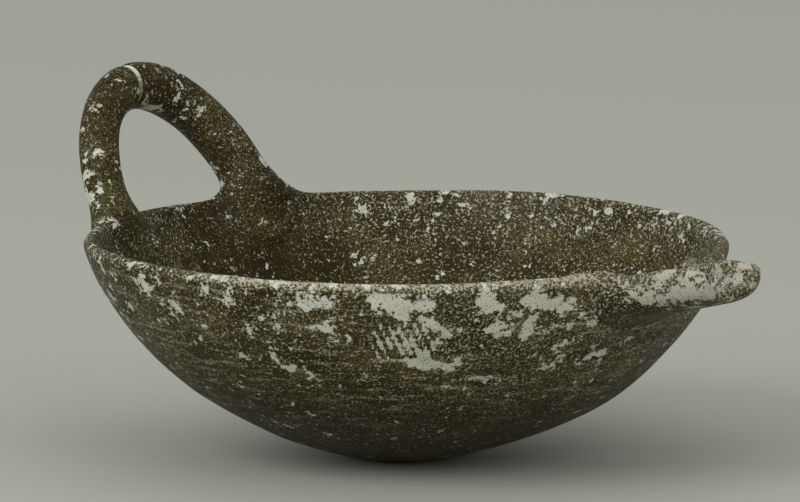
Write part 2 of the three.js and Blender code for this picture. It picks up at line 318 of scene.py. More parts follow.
def body_grid():
    """The body as a grid of rows by turns, from the foot's middle up outside, over the lip and down inside.

    A row keeps its level height z. Round the bowl it moves to z + wave * rise - notch * sink, and its point
    is where the wall's curve has that height, so the wall keeps its shape while the rim dips, swells and
    opens for the spout. Near the ground it drifts towards the handle by (1 - z / height)^2. The lip is half
    a circle across the wall's thickness, and the floor inside sinks by 1 - q^2 towards its middle. Returns
    the grid, its azimuths, and how many rows lie outside and over the lip.
    """
    up, lip = body_rows()
    azimuth = (np.arange(TURNS) - TURNS / 2) * (2 * math.pi / TURNS)
    wave = rim_wave(azimuth)
    middle = RIM_RADIUS - LIP_ROUND
    channel = trough_low(middle * np.cos(azimuth), middle * np.sin(azimuth), 1.0)
    facing = np.abs(azimuth) < math.radians(SPOUT_SIDE)
    notch = np.where(facing, np.clip(CREST + wave - channel, 0, None), 0)

    def level(z):
        """Heights round the bowl of rows that lie at z: z + wave * rise - notch * sink."""
        z = z[:, None]
        rise = np.clip((z - RIM_SEAM) / (CREST - RIM_SEAM), 0, None)
        sink = smooth(NOTCH_START, SHOULDER, z)
        return z + wave * rise - notch * sink

    def ring(r, z):
        """Points round the axis at radius r and height z, less the drift of the foot."""
        drift = FOOT_DRIFT * np.clip(1 - np.clip(z, 0, None) / FOOT_DRIFT_HEIGHT, 0, 1) ** 2
        return np.stack([r * np.cos(azimuth) - drift, r * np.sin(azimuth), z + 0 * azimuth], -1)

    height = level(up)
    radius, depth = at_height(WALL_R, height), at_height(WALL_THICK, height)
    nr, nz = at_height(WALL_NR, height), at_height(WALL_NZ, height)
    outside = ring(radius, height)
    inside = ring(radius + nr * depth, height + nz * depth)

    half = depth[-1] / 2
    tr, tz = nz[-1], -nr[-1]
    turn = lip[:, None]
    lip_r = radius[-1] + nr[-1] * half + half * (-nr[-1] * np.cos(turn) + tr * np.sin(turn))
    lip_z = height[-1] + nz[-1] * half + half * (-nz[-1] * np.cos(turn) + tz * np.sin(turn))
    lips = ring(lip_r, lip_z)

    share = np.linspace(0, 1, FOOT_ROWS + 1)[1:-1, None]
    foot = ring(FOOT_RADIUS * share, 0 * share)
    first_r, first_z = radius[0] + nr[0] * depth[0], height[0] + nz[0] * depth[0]
    bowl_drop = math.tan(math.radians(FLOOR_SLOPE)) * first_r / 2
    floor = ring(first_r * share[::-1], first_z - bowl_drop * (1 - share[::-1] ** 2))
    grid = np.concatenate([foot, outside, lips, inside[::-1], floor])
    return grid, azimuth, len(foot) + len(outside), len(lips)


def grid_normals(grid):
    """Unit normals of a grid of rows by wrapped columns: the column step crossed with the row step."""
    down_rows = np.gradient(grid, axis=0)
    wrapped = np.concatenate([grid[:, -1:], grid, grid[:, :1]], 1)
    round_columns = np.gradient(wrapped, axis=1)[:, 1:-1]
    return unit(np.cross(round_columns, down_rows))


# Distances used to smooth the pieces into each other
def nearest(points, samples, radii):
    """Least of (distance to a sample - its radius) for each point, in chunks."""
    result = np.empty(len(points))
    for start in range(0, len(points), CHUNK):
        part = points[start:start + CHUNK]
        gap = np.linalg.norm(part[:, None] - samples[None], axis=2) - radii[None]
        result[start:start + CHUNK] = gap.min(1)
    return result


def body_distance(points):
    """Distance to the wall: to its middle line in the point's upright plane, less half its thickness."""
    azimuth = np.arctan2(points[:, 1], points[:, 0])
    z = points[:, 2]
    rise = np.clip((z - RIM_SEAM) / (CREST - RIM_SEAM), 0, 1)
    flat = np.stack([np.hypot(points[:, 0], points[:, 1]), z - rise * rim_wave(azimuth), 0 * z], 1)
    keep = (WALL_Z > LOWEST_WALL) & (WALL_Z <= SHOULDER)
    half = WALL_THICK[keep] / 2
    middle = [WALL_R[keep] + WALL_NR[keep] * half, WALL_Z[keep] + WALL_NZ[keep] * half, 0 * half]
    return nearest(flat, np.stack(middle, 1)[::2], half[::2])


def melt(points, normals, near, distance, reach):
    """How far the points that are near move out along their normals to the smooth union with a neighbour.

    With a the way moved and b the distance to the neighbour, the union is where
    min(a, b) - max(reach - |a - b|, 0)^2 / (4 reach) is zero. Each pass moves by what is left of it, and
    what lies past the middle of the fillet stays a quarter of the reach out, buried in the neighbour.
    """
    moved = np.zeros(len(points))
    active = near.copy()
    active[near] = distance(points[near]) < reach
    for _ in range(MELT_PASSES):
        b = distance(points[active] + normals[active] * moved[active, None])
        a = moved[active]
        left = np.minimum(a, b) - np.clip(reach - np.abs(a - b), 0, None) ** 2 / (4 * reach)
        moved[active] = np.clip(a - left, 0, reach / 4)
    return moved


# Handle form
CHORD_X = -math.sqrt((RIM_RADIUS - LIP_ROUND) ** 2 - (ARCH_SPAN / 2) ** 2)
CHORD_MIDDLE = np.array([CHORD_X, 0, CREST])
ARCH_UP = np.array([-math.sin(math.radians(ARCH_LEAN)), 0, math.cos(math.radians(ARCH_LEAN))])
ARCH_FACE = np.array([math.cos(math.radians(ARCH_LEAN)), 0, math.sin(math.radians(ARCH_LEAN))])
ARCH_SIDE = np.array([0, 1, 0])


def arch_flat(angle):
    """Middle line in the arch's plane: half a superellipse, straight down past the roots.

    It is -cos^(2/n) of half the span across and sin^(2/n) of the rise up, with n its fullness.
    """
    held = np.clip(angle, 0, math.pi)
    power = 2 / ARCH_FULLNESS
    across = -np.sign(np.cos(held)) * np.abs(np.cos(held)) ** power
    up = np.abs(np.sin(held)) ** power - np.abs(angle - held)
    return np.stack([ARCH_SPAN / 2 * across, ARCH_RISE * up], -1)


def arch_directions(angles):
    """Unit tangent of the middle line in the arch's plane, by a central difference, and its left normal."""
    tangent = unit(arch_flat(angles + ANGLE_STEP) - arch_flat(angles - ANGLE_STEP))
    return tangent, np.stack([-tangent[:, 1], tangent[:, 0]], -1)


def arch_place(flat, face):
    """Point in space: the chord's middle + side and up in the arch's plane + face square to it."""
    return CHORD_MIDDLE + flat[..., :1] * ARCH_SIDE + flat[..., 1:] * ARCH_UP + face[..., None] * ARCH_FACE


def root_bend(angles):
    """What moves the line past a root onto the wall below it: drop * (the arch's up - the wall's up)."""
    drop = np.abs(angles - np.clip(angles, 0, math.pi)) * ARCH_RISE
    radial = unit(np.array([CHORD_X, ARCH_SPAN / 2]))
    lean = math.radians(WALL_LEAN)
    side = np.sign(angles - math.pi / 2)
    level = 0 * side
    wall_up = np.stack([
        level + radial[0] * math.sin(lean), side * radial[1] * math.sin(lean), level + math.cos(lean)
    ], -1)
    return drop[:, None] * (ARCH_UP - wall_up)


def limb_radii(angle):
    """Half thickness in the arch's plane and square to it.

    It grows from the near limb to the far one by a smooth step, spreads at a root by flare * (1 - q)^2,
    with q the height over the rim in flare heights, and closes below it by 1 - q^2, with q the share sunk.
    """
    share = smooth(*THICKENING_LIMITS, angle / math.pi)
    radius = mix(NEAR_THICKNESS, FAR_THICKNESS, share) / 2
    near_level = angle * ARCH_RISE
    far_level = (math.pi - angle) * ARCH_RISE
    spread = 0
    for level, (flare, height) in ((near_level, NEAR_FLARE), (far_level, FAR_FLARE)):
        spread = spread + flare * np.clip(1 - np.clip(level, 0, None) / height, 0, 1) ** 2
    sunk = np.clip(-np.minimum(near_level, far_level) / ROOT_SINK, 0, ROOT_CLOSE)
    close = 1 - sunk**2
    return (radius + spread) * close, (radius + np.minimum(spread, ROOT_SIDE)) * close


def limb_grid(angles, shrink):
    """Stretch of the handle as rings by sides: ellipses of the two radii, less a share shrink of them.

    Near the break the rings slant along the line by tan(skew) * exp(-q^2) times their place across it, with
    q the distance from the break in half thicknesses.
    """
    tangent, normal = arch_directions(angles)
    out_radius, face_radius = limb_radii(angles)
    turn = np.arange(LIMB_SIDES) * (2 * math.pi / LIMB_SIDES)
    out = (out_radius * (1 - shrink))[:, None] * np.cos(turn)
    face = (face_radius * (1 - shrink))[:, None] * np.sin(turn)
    away = (angles - math.radians(MEND_ANGLE)) * ARCH_RISE / (NEAR_THICKNESS / 2)
    slant = (math.tan(math.radians(MEND_SKEW)) * np.exp(-away * away))[:, None] * out
    flat = arch_flat(angles)[:, None] + out[..., None] * normal[:, None]
    flat = flat + slant[..., None] * tangent[:, None]
    return arch_place(flat, face) + root_bend(angles)[:, None]


def handle_samples():
    """Balls along the handle, three abreast, whose hull is the handle's oval section."""
    sink = ROOT_SINK / ARCH_RISE
    angles = np.linspace(-sink, math.pi + sink, HANDLE_BALL_STEPS)
    _, normal = arch_directions(angles)
    out_radius, face_radius = limb_radii(angles)
    spare = (out_radius - face_radius)[:, None]
    middle, bend = arch_flat(angles), root_bend(angles)
    lines = [arch_place(middle + side * spare * normal, 0 * angles) + bend for side in (-1, 0, 1)]
    return np.concatenate(lines), np.tile(face_radius, 3)


HANDLE_BALLS, HANDLE_GIRTH = handle_samples()


def handle_distance(points):
    """Distance to the nearest of the handle's balls."""
    return nearest(points, HANDLE_BALLS, HANDLE_GIRTH)


def spout_samples():
    """Points on the outer face of the trough, from its root inside the wall to its mouth."""
    stations, sides = SPOUT_SKIN_STEPS
    x = np.linspace(SPOUT_ROOT - TROUGH_SKIN_IN, SPOUT_TIP, stations)[:, None]
    lip, underside, half, wall = spout_heights(x)
    across, down = trough_arc(sides)
    z = mix(lip - wall / 2, underside, down)
    return np.stack([x + 0 * across, half * across, z], -1).reshape(-1, 3)


SPOUT_SKIN = spout_samples()


def spout_distance(points):
    """Distance to the nearest point of the spout's skin."""
    return nearest(points, SPOUT_SKIN, np.zeros(len(SPOUT_SKIN)))


# Wear of the bowl, as masks on its points: 0 is whole slip, 1 is bare clay
# (azimuth, height, half width, half height, strength, tilt) of rubbed and flaked places on the outside
PATCHES = [
    (-49, 70.5, 11.5, 5.4, 1.02, 0),
    (-53, 73, 7, 2.6, 1.0, 0),
    (-46, 66, 9, 4.4, 0.86, -20),
    (-44, 48, 9, 3, 1.1, -8),
    (-34.5, 70, 7.5, 5.6, 1.0, 0),
    (-31, 66, 5, 3, 0.9, 0),
    (-25, 71, 10, 3.4, 0.95, -5),
    (-20.5, 69.5, 7, 4.8, 0.98, 0),
    (-31.5, 42, 6, 2.2, 0.95, -6),
    (-16, 48, 3.6, 2, 1.0, 15),
    (-7, 48.5, 5.5, 1.4, 0.95, 12),
    (0, 53, 4, 1.2, 0.9, 12),
    (-103, 70, 9, 5, 0.55, -30),
    (-96, 62, 10, 5, 0.5, -30),
    (-84, 70, 13, 5, 0.52, -15),
    (-76, 47, 18, 6, 0.42, -8),
    (-64, 71, 10, 4, 0.52, 0),
    (-62, 60, 9, 4, 0.52, -10),
    (-42, 60, 12, 5, 0.58, -20),
    (-31, 60, 9, 6, 0.62, -20),
    (-19, 61, 9, 5, 0.62, -10),
    (-8, 72.5, 14, 2.5, 0.6, 0),
    (95, 68, 14, 5, 0.7, 10),
    (140, 64, 10, 4, 0.6, 0),
    (60, 70, 9, 3, 0.75, 0),
    (-150, 66, 12, 4, 0.6, 0),
]
PATCH_FALL = (0.8, 1.3)
FLAKE_DEPTH = 0.32
FLAKE_EDGE = (1.1, 5, 71)  # strength, size and seed of the noise that frays a flake
FLAKE_LIMITS = (0.55, 0.75)

COMB = (-48, 58, 15, 8.5)  # azimuth, height, half width and half height of the scraped strokes
COMB_PITCH = 2.7
COMB_TILT = -24
COMB_WEAR = 1.75
COMB_GAP = 0.4
COMB_DEPTH = 0.3

CLOUD = (0.42, 24, 51)  # strength, size and seed of the clouds of wear on the upper wall
CLOUD_LIMITS = (0.3, 0.7)
CLOUD_HEIGHT_LIMITS = (30, 62)

# Lip: place and width of the rubbed line, in shares of the arc over the lip from its outer side, then its
# wear and tone, each elsewhere and on the near side, which lies between the two pairs of azimuths. Their
# rise on the near side is a painted highlight.
LIP_LINE = (0.36, 0.4)
LIP_WEAR_AND_HIGHLIGHT = (0.32, 0.5)
LIP_TONE_AND_HIGHLIGHT = (0.14, 0.62)
NEAR_START_LIMITS = (-96, -84)
NEAR_END_LIMITS = (-12, 8)

# Inside of the far rim
INNER_WEAR = 0.38
INNER_HEIGHT_LIMITS = (66, 77)
INNER_START_LIMITS = (20, 60)
INNER_END_LIMITS = (130, 160)

# Tone: share of the lighter brown in the slip, darkened in places below by painted shade
OUTER_TONE = (0.1, 0.22)  # at the foot, and how much more it is on the upper wall
OUTER_TONE_LIMITS = (14, 60)
# Painted shade: the side below the near limb is painted darker
LEFT_PAINTED_SHADE = (0.13, -95, 70)  # strength, azimuth and reach of the darker side below the near limb
# Painted shadow: a dark line painted on the wall under the lip
UNDER_LIP_PAINTED_SHADOW = (0.2, 74, 1.6)  # strength, height and width of the dark line under the lip
INNER_TONE = 0.2
FAR_TONE = 0.14
FAR_HEIGHT_LIMITS = (55, 76)
FAR_LIMITS = (10, 60)
# Painted shade: the inside is painted darker towards the handle over these azimuths
HANDLE_PAINTED_SHADE = 0.22
HANDLE_PAINTED_SHADE_LIMITS = (125, 172)

BODY_DRAG = 0.55
DRAG_LIMITS = (8, 40)
MOST_WEAR = 1.2


def patch(azimuth, height, radius, place):
    """Soft oval spot: strength * exp(-fall q^power), q the squared distance in its tilted half widths."""
    centre, level, half_width, half_height, strength, tilt = place
    fall, power = PATCH_FALL
    u = np.radians(np.degrees(azimuth) - centre) * radius
    v = height - level
    c, s = math.cos(math.radians(tilt)), math.sin(math.radians(tilt))
    q = ((c * u + s * v) / half_width) ** 2 + ((c * v - s * u) / half_height) ** 2
    return strength * np.exp(-fall * q**power)


def comb_strokes(azimuth, height, radius):
    """Steep scraped strokes: their field exp(-u^4 - v^4), and a sine from 0 to 1 across them."""
    centre, level, half_width, half_height = COMB
    u = np.radians(np.degrees(azimuth) - centre) * radius
    v = height - level
    tilt = math.radians(COMB_TILT)
    across = u * math.cos(tilt) - v * math.sin(tilt)
    stroke = 0.5 + 0.5 * np.sin(across * 2 * math.pi / COMB_PITCH)
    field = np.exp(-((u / half_width) ** 4) - (v / half_height) ** 4)
    return field, stroke


def body_marks(grid, azimuth, outer_count, lip_count):
    """Wear, tone and drag of the body's points.

    Wear is the greatest of the patches, strokes and clouds outside, the line exp(-q^2) over the lip, and a
    stretch inside the far rim; on the near side of the lip its rise is a painted highlight. Tone rises from
    the foot by a smooth step, is darker on the left and in a line exp(-q^2) under the lip as painted shade,
    rises on the near side of the lip as a painted highlight, and falls inside towards the handle as painted
    shade. Drag is outside alone.
    """
    radius = np.hypot(grid[..., 0], grid[..., 1])
    height = grid[..., 2]
    turn = azimuth + 0 * radius
    degrees = np.degrees(turn)
    row = np.arange(len(grid))[:, None] + 0 * turn
    outer = row < outer_count
    before_spout = 1 - smooth(*NEAR_END_LIMITS, degrees)
    near = smooth(*NEAR_START_LIMITS, degrees) * before_spout
    line, width = LIP_LINE
    on_lip = np.exp(-((((row - outer_count) / lip_count - line) / width) ** 2))

    wear = np.zeros(grid.shape[:2])
    for place in PATCHES:
        wear = np.maximum(wear, patch(turn, height, radius, place))
    field, stroke = comb_strokes(turn, height, radius)
    wear = np.maximum(wear, field * (COMB_WEAR * stroke - COMB_GAP))
    strength, size, seed = CLOUD
    clouds = smooth(*CLOUD_HEIGHT_LIMITS, height) * smooth(*CLOUD_LIMITS, rough(grid, size, seed))
    wear = np.maximum(wear, strength * clouds) * outer
    # The lip's rubbed wear, with a painted highlight in its rise on the near side
    wear = np.maximum(wear, on_lip * mix(*LIP_WEAR_AND_HIGHLIGHT, near))
    inner_rim = smooth(*INNER_HEIGHT_LIMITS, height) * smooth(*INNER_START_LIMITS, degrees)
    inner_rim = ~outer * inner_rim * (1 - smooth(*INNER_END_LIMITS, degrees))
    wear = np.maximum(wear, INNER_WEAR * inner_rim)

    foot_tone, more = OUTER_TONE
    # Painted shade on the side below the near limb, and a painted shadow under the lip
    shade, centre, reach = LEFT_PAINTED_SHADE
    left = 1 - smooth(0, reach, np.abs(degrees - centre))
    tone_out = foot_tone + more * smooth(*OUTER_TONE_LIMITS, height) - shade * left
    shade, level, width = UNDER_LIP_PAINTED_SHADOW
    tone_out = tone_out - shade * np.exp(-(((height - level) / width) ** 2)) * before_spout
    far = smooth(*FAR_HEIGHT_LIMITS, height) * smooth(*FAR_LIMITS, degrees)
    # Painted shade inside, falling towards the handle
    tone_in = INNER_TONE + FAR_TONE * far - HANDLE_PAINTED_SHADE * smooth(*HANDLE_PAINTED_SHADE_LIMITS, degrees)
    # The lip's tone rises on the near side as a painted highlight
    tone = np.where(outer, tone_out, tone_in) + on_lip * mix(*LIP_TONE_AND_HIGHLIGHT, near)

    drag = BODY_DRAG * outer * smooth(*DRAG_LIMITS, height)
    return {"wear": np.clip(wear, 0, MOST_WEAR), "tone": np.clip(tone, 0, 1), "drag": drag}


# Meshes
def grid_faces(rows, columns):
    """Quads between the rows of a grid whose columns close on themselves."""
    row, column = np.meshgrid(np.arange(rows - 1), np.arange(columns), indexing="ij")
    a, b = row * columns + column, row * columns + (column + 1) % columns
    return np.stack([a, b, b + columns, a + columns], -1).reshape(-1, 4)


def fan(row_start, columns, pole, first):
    """Triangles from a pole to a ring: before the ring for the first pole, after it for the last."""
    column = np.arange(columns)
    a, b = row_start + column, row_start + (column + 1) % columns
    tip = np.full(columns, pole)
    return np.stack([tip, b, a] if first else [a, b, tip], -1)


def closed_by_poles(grid, first, last):
    """Points and faces of a grid of rings, closed at each end by a point."""
    rows, columns = grid.shape[:2]
    count = rows * columns
    faces = grid_faces(rows, columns).tolist()
    faces += fan(0, columns, count, True).tolist()
    faces += fan(count - columns, columns, count + 1, False).tolist()
    return np.vstack([grid.reshape(-1, 3), first, last]), faces


def closed_by_seam(grid):
    """Points and faces of a grid of rings whose last row joins its first, as a wall's two sides do."""
    rows, columns = grid.shape[:2]
    faces = grid_faces(rows + 1, columns) % (rows * columns)
    return grid.reshape(-1, 3), faces.tolist()


def signed_volume(points, faces):
    """Six times the volume: positive where the faces point outwards."""
    total = 0.0
    for sides in {len(face) for face in faces}:
        chosen = np.array([face for face in faces if len(face) == sides])
        for k in range(1, sides - 1):
            a, b, c = points[chosen[:, 0]], points[chosen[:, k]], points[chosen[:, k + 1]]
            total += np.einsum("ij,ij->", a, np.cross(b, c))
    return total


def put_piece(name, points, faces, material, nodes, marks):
    """Makes a mesh with its faces outwards and its marks as attributes, and puts it in its nodes' place."""
    if signed_volume(points, faces) < 0:
        faces = [face[::-1] for face in faces]
    mesh = bpy.data.meshes.new(name)
    mesh.from_pydata((points * MM).tolist(), [], faces)
    for mark, values in marks.items():
        layer = mesh.attributes.new(mark, "FLOAT", "POINT")
        layer.data.foreach_set("value", np.ascontiguousarray(values, np.float32))
    mesh.shade_smooth()
    mesh.set_sharp_from_angle(angle=math.radians(SHARP_ANGLE))
    mesh.materials.append(material)
    mesh.validate()
    piece = bpy.data.objects.new(name, mesh)
    bpy.context.scene.collection.objects.link(piece)
    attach(piece, "root")
    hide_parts(*nodes)


# Shader nodes
MIX_INPUTS, MIX_OUTPUT = (0, 6, 7), 2  # a Mix node's factor, its two colours and its result


def colour(red, green, blue):
    """Linear colour of an sRGB colour given from 0 to 255."""
    def linear(value):
        value = value / 255
        return value / 12.92 if value <= 0.04045 else ((value + 0.055) / 1.055) ** 2.4
    return (linear(red), linear(green), linear(blue), 1)


def node(tree, kind, links=(), **settings):
    """Adds a node, sets its properties, and links (output, input) pairs into it."""
    made = tree.nodes.new(kind)
    for key, value in settings.items():
        setattr(made, key, value)
    for output, target in links:
        tree.links.new(output, made.inputs[target])
    return made


def feed(tree, socket, value):
    """Links an output to a socket, or sets a plain value there."""
    if isinstance(value, (tuple, float, int)):
        socket.default_value = value
    else:
        tree.links.new(value, socket)


def maths(tree, operation, a, b):
    """Math node over two outputs or plain values."""
    made = node(tree, "ShaderNodeMath", operation=operation)
    feed(tree, made.inputs[0], a)
    feed(tree, made.inputs[1], b)
    return made.outputs[0]


def add(tree, a, b):
    """a + b."""
    return maths(tree, "ADD", a, b)


def times(tree, a, b):
    """a * b."""
    return maths(tree, "MULTIPLY", a, b)


def swing(tree, pattern, amount):
    """A noise moved to lie about 0, times an amount."""
    return times(tree, maths(tree, "SUBTRACT", pattern, 0.5), amount)


def band(tree, value, limits):
    """Smooth step of a value between two limits."""
    made = node(tree, "ShaderNodeMapRange", [(value, "Value")], interpolation_type="SMOOTHSTEP")
    made.inputs["From Min"].default_value, made.inputs["From Max"].default_value = limits
    return made.outputs[0]


def noise(tree, vector, kind):
    """Noise over a vector, from its scale, detail and roughness."""
    made = node(tree, "ShaderNodeTexNoise", [(vector, "Vector")])
    for name, value in zip(("Scale", "Detail", "Roughness"), kind):
        made.inputs[name].default_value = value
    return made.outputs["Fac"]


def stretched(tree, vector, scale, turn=(0, 0, 0)):
    """The vector turned and scaled, for noise in streaks."""
    made = node(tree, "ShaderNodeMapping", [(vector, "Vector")])
    made.inputs["Scale"].default_value = scale
    made.inputs["Rotation"].default_value = [math.radians(angle) for angle in turn]
    return made.outputs[0]


def blend(tree, factor, a, b):
    """Mixes two colours."""
    made = node(tree, "ShaderNodeMix", data_type="RGBA")
    for target, value in zip(MIX_INPUTS, (factor, a, b)):
        feed(tree, made.inputs[target], value)
    return made.outputs[MIX_OUTPUT]


# Slip: scale in cycles per metre, detail and roughness of each noise. A streak's vector has its own scale.
MOTTLE = (52, 4, 0.6)
FINE = (1050, 3, 0.72)
FINER = (1500, 2, 0.6)
GRIT = (330, 2, 0.5)
RAGGED = (230, 6, 0.72)
BROKEN = (95, 3, 0.6)
STREAK = (1, 5, 0.65)
LEVEL_STREAK = (55, 55, 430)
SLANT_STREAK = (60, 60, 460)
SLANT_TURN = (24, 18, 0)

# Slip: limits of its masks, and how much each pattern counts
LEVEL_DRAG_LIMITS = (0.53, 0.66)
SLANT_DRAG_LIMITS = (0.55, 0.68)
DRAG_SPECK_LIMITS = (0.42, 0.56)
TONE_MOTTLE = 1.7
TONE_GRAIN = 3.4
SPECK_THRESHOLD = 0.68
SPECK_GAIN = 0.16
SPECK_BASE = 0.35
SPECK_LIMITS = (0, 0.05)
SPECK_COVER = 0.9
GRIT_LIMITS = (0.69, 0.72)
GRIT_COVER = 0.85
TEAR_RAGGED = 3.8
TEAR_BROKEN = 2.2
TEAR_STREAK = 0.8
TEAR_FINE = 0.7
WORN_LIMITS = (0.6, 0.7)
CLAY_PIT_LIMITS = (0.55, 0.7)
SLIP_ROUGHNESS = 0.5
WORN_ROUGHNESS = 0.3
SPECK_ROUGHNESS = 0.15
FINE_RELIEF = 0.5
STREAK_RELIEF = 0.5
WORN_RELIEF = 0.8

SLIP_SOCKETS = (
    ("INPUT", "Vector", "Vector"),
    ("INPUT", "Float", "Wear Tone Drag Speckle"),
    ("INPUT", "Color", "Dark Middle Speck Clay"),
    ("OUTPUT", "Color", "Color"),
    ("OUTPUT", "Float", "Roughness Height"),
)


def slip_group():
    """Dark slip over pale clay: mottled tone, fine pale speckle, grits, drag lines and worn places."""
    tree = bpy.data.node_groups.new("burnished_slip", "ShaderNodeTree")
    for side, kind, names in SLIP_SOCKETS:
        for name in names.split():
            tree.interface.new_socket(name=name, in_out=side, socket_type="NodeSocket" + kind)
    given = node(tree, "NodeGroupInput").outputs
    vector = given["Vector"]
    mottle, fine, finer, grit, ragged, broken = (
        noise(tree, vector, kind) for kind in (MOTTLE, FINE, FINER, GRIT, RAGGED, BROKEN)
    )
    level_streak = noise(tree, stretched(tree, vector, LEVEL_STREAK), STREAK)
    slant_streak = noise(tree, stretched(tree, vector, SLANT_STREAK, SLANT_TURN), STREAK)

    tone = add(tree, given["Tone"], swing(tree, mottle, TONE_MOTTLE))
    tone = band(tree, add(tree, tone, swing(tree, finer, TONE_GRAIN)), (0, 1))
    base = blend(tree, tone, given["Dark"], given["Middle"])

    wanted = times(tree, given["Speckle"], add(tree, given["Tone"], SPECK_BASE))
    threshold = maths(tree, "SUBTRACT", SPECK_THRESHOLD, times(tree, wanted, SPECK_GAIN))
    specks = band(tree, maths(tree, "SUBTRACT", fine, threshold), SPECK_LIMITS)
    speckled = blend(tree, times(tree, specks, SPECK_COVER), base, given["Speck"])

    level_drag = band(tree, level_streak, LEVEL_DRAG_LIMITS)
    slant_drag = band(tree, slant_streak, SLANT_DRAG_LIMITS)
    drag = times(tree, maths(tree, "MAXIMUM", level_drag, slant_drag), given["Drag"])
    drag = times(tree, drag, band(tree, fine, DRAG_SPECK_LIMITS))
    dragged = blend(tree, drag, speckled, given["Speck"])
    gritted = blend(tree, times(tree, band(tree, grit, GRIT_LIMITS), GRIT_COVER), dragged, given["Clay"])

    torn = given["Wear"]
    for pattern, amount in (
        (ragged, TEAR_RAGGED), (broken, TEAR_BROKEN), (level_streak, TEAR_STREAK), (fine, TEAR_FINE)
    ):
        torn = add(tree, torn, swing(tree, pattern, amount))
    worn = band(tree, torn, WORN_LIMITS)
    clay = blend(tree, band(tree, finer, CLAY_PIT_LIMITS), given["Clay"], given["Middle"])
    final = blend(tree, worn, gritted, clay)

    roughness = add(tree, SLIP_ROUGHNESS, times(tree, worn, WORN_ROUGHNESS))
    roughness = add(tree, roughness, times(tree, specks, SPECK_ROUGHNESS))
    height = maths(tree, "SUBTRACT", times(tree, fine, FINE_RELIEF), times(tree, worn, WORN_RELIEF))
    height = add(tree, height, times(tree, level_streak, STREAK_RELIEF))
    node(tree, "NodeGroupOutput", [(final, "Color"), (roughness, "Roughness"), (height, "Height")])
    return tree


# Materials
SLIP = slip_group()
DARK = colour(36, 29, 2)
MIDDLE = colour(88, 81, 43)
SPECK = colour(168, 165, 142)
PALE_CLAY = colour(188, 188, 174)
BUMP_STRENGTH = 0.7
BUMP_DISTANCE = 0.3
SLIP_GLOSS = 0.13


def slip_material(name, speckle, dark=DARK, middle=MIDDLE, clay=PALE_CLAY):
    """Fired clay under slip. Wear, tone and drag come from the piece's own attributes."""
    material = bpy.data.materials.new(name)
    material.use_nodes = True
    tree = material.node_tree
    shader = tree.nodes["Principled BSDF"]
    place = node(tree, "ShaderNodeTexCoord").outputs["Object"]
    slip = node(tree, "ShaderNodeGroup", node_tree=SLIP)
    tree.links.new(place, slip.inputs["Vector"])
    for mark in ("Wear", "Tone", "Drag"):
        source = node(tree, "ShaderNodeAttribute", attribute_name=mark.lower())
        tree.links.new(source.outputs["Fac"], slip.inputs[mark])
    given = {"Speckle": speckle, "Dark": dark, "Middle": middle, "Speck": SPECK, "Clay": clay}
    for key, value in given.items():
        slip.inputs[key].default_value = value
    bump = node(tree, "ShaderNodeBump", [(slip.outputs["Height"], "Height")])
    bump.inputs["Strength"].default_value = BUMP_STRENGTH
    bump.inputs["Distance"].default_value = BUMP_DISTANCE * MM
    tree.links.new(slip.outputs["Color"], shader.inputs["Base Color"])
    tree.links.new(slip.outputs["Roughness"], shader.inputs["Roughness"])
    tree.links.new(bump.outputs["Normal"], shader.inputs["Normal"])
    shader.inputs["Specular IOR Level"].default_value = SLIP_GLOSS
    return material


dark_slip = slip_material("dark_burnished_slip", 1.15)
rim_slip = slip_material("rubbed_rim_slip_and_painted_light", 1.15, middle=colour(84, 79, 52))
handle_slip = slip_material("handle_slip", 1.0)
spout_slip = slip_material("worn_spout_slip_and_painted_light", 1.1, middle=colour(84, 80, 56), clay=colour(164, 163, 150))
filler = slip_material("pale_filler", 0.3, dark=colour(120, 118, 100), middle=colour(150, 149, 132))


# The bowl: base, wall and rim are rows of one grid, so that their seams meet exactly
def body_lift(grid, turn, outer, wear):
    """How far the clay stands off the exact wall: unevenness + bulge - flakes - strokes.

    The bulge is height * exp(-u^2 - v^2) in its widths, and a flake a smooth step of wear plus noise.
    """
    z = grid[..., 2]
    lift = hand(grid) * smooth(*FOOT_CALM_LIMITS, z)
    height, azimuth, width, level, level_width = BELLY
    swell = np.exp(-(((np.degrees(turn) - azimuth) / width) ** 2) - ((z - level) / level_width) ** 2)
    fray, size, seed = FLAKE_EDGE
    flake = smooth(*FLAKE_LIMITS, wear + fray * (rough(grid, size, seed) - 0.5))
    field, stroke = comb_strokes(turn, z, np.hypot(grid[..., 0], grid[..., 1]))
    return lift + outer * height * swell - FLAKE_DEPTH * flake - outer * COMB_DEPTH * field * stroke


def body_melted(grid, normals, before_inside):
    """The body's grid, moved along its normals into the handle's roots and the outside of the spout."""
    points, directions = grid.reshape(-1, 3), normals.reshape(-1, 3)
    x, z = points[:, 0], points[:, 2]
    from_chord, handle_low = HANDLE_NEAR_WALL
    least_x, spout_low = SPOUT_NEAR_WALL
    by_handle = (x < CHORD_X + from_chord) & (z > handle_low)
    by_spout = (x > least_x) & (z > spout_low) & before_inside.reshape(-1) & ~inside_trough(points)
    moved = melt(points, directions, by_handle, handle_distance, HANDLE_BLEND)
    moved += melt(points, directions, by_spout, spout_distance, SPOUT_BLEND)
    return (points + directions * moved[:, None]).reshape(grid.shape)


